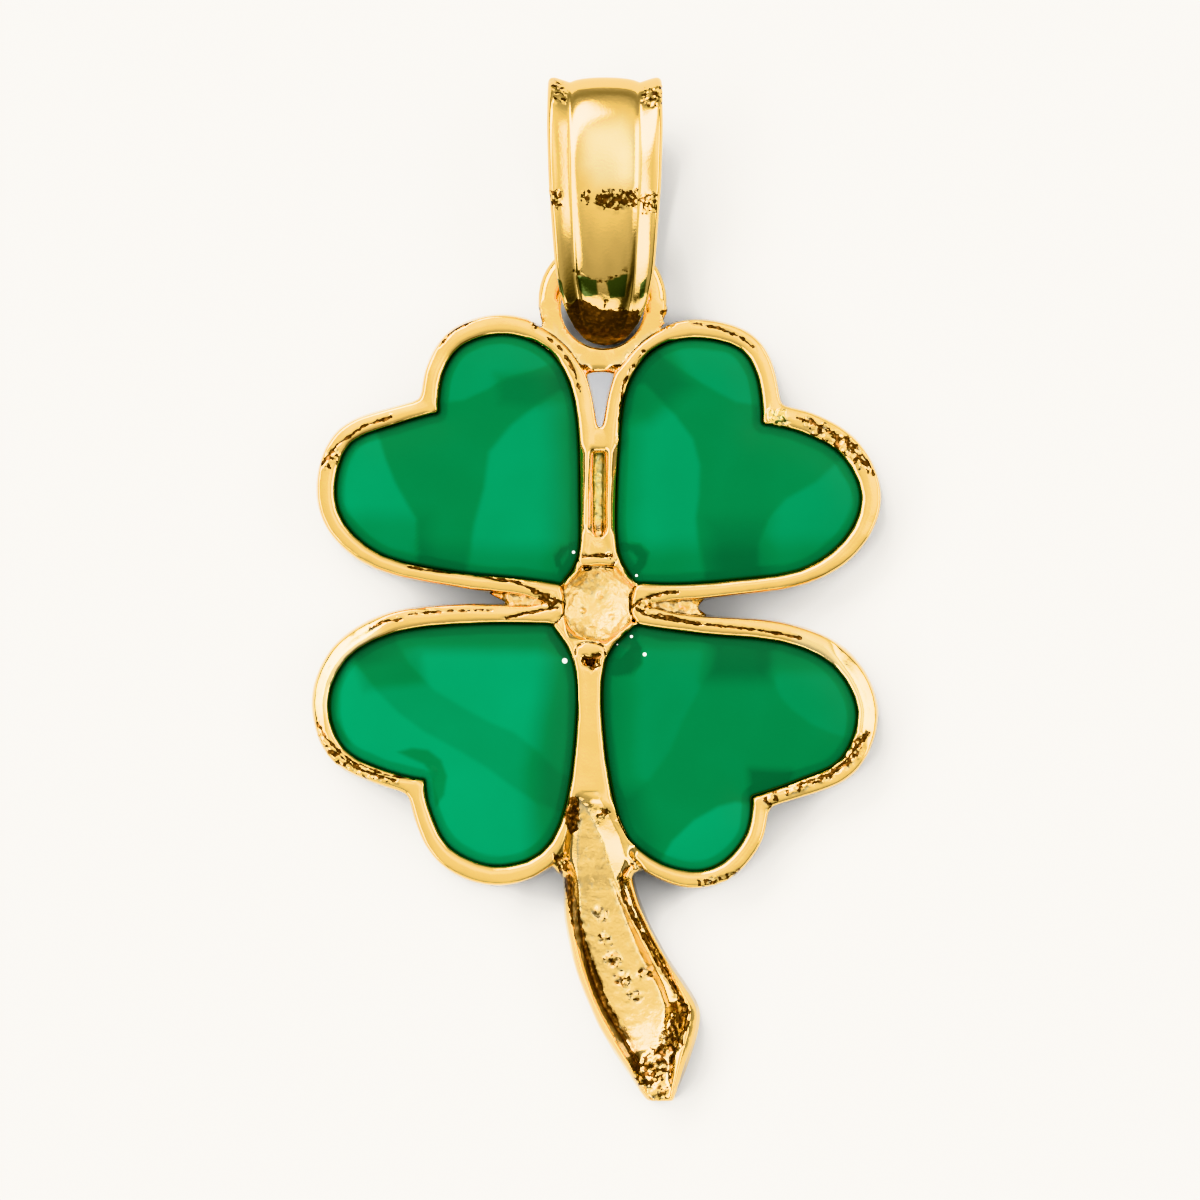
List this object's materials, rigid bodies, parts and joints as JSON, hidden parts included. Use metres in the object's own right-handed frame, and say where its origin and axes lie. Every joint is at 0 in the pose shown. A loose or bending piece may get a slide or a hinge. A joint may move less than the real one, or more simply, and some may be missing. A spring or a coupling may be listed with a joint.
{
  "type": "four leaf clover pendant",
  "caption": "Gold clover pendant with domed green enamel leaves, a curved hollow stem and a tapered bail that swings in a flat eye ring, lying on its back.",
  "frame": {"origin": "the clover's centre, on the plane of its flat back", "axes": "+Z out of the clover's face, +Y from the stem towards the bail, +X to the right of someone who looks at the face"},
  "size_m": [0.0122, 0.022, 0.0028],
  "materials": {
    "gold": "polished cast yellow gold",
    "enamel": "glossy green enamel"
  },
  "bodies": {
    "clover": {"clover_frame": "gold", "leaf_upper_left": "enamel", "leaf_upper_right": "enamel", "leaf_lower_left": "enamel", "leaf_lower_right": "enamel"},
    "bail": {"bail": "gold"}
  },
  "joints": [
    {"name": "bail_swing", "type": "hinge", "parent": "clover", "child": "bail", "pos_m": [0.00015, 0.0073, 0.0015], "axis": [1, 0, 0], "range_deg": [-8, 45]}
  ]
}
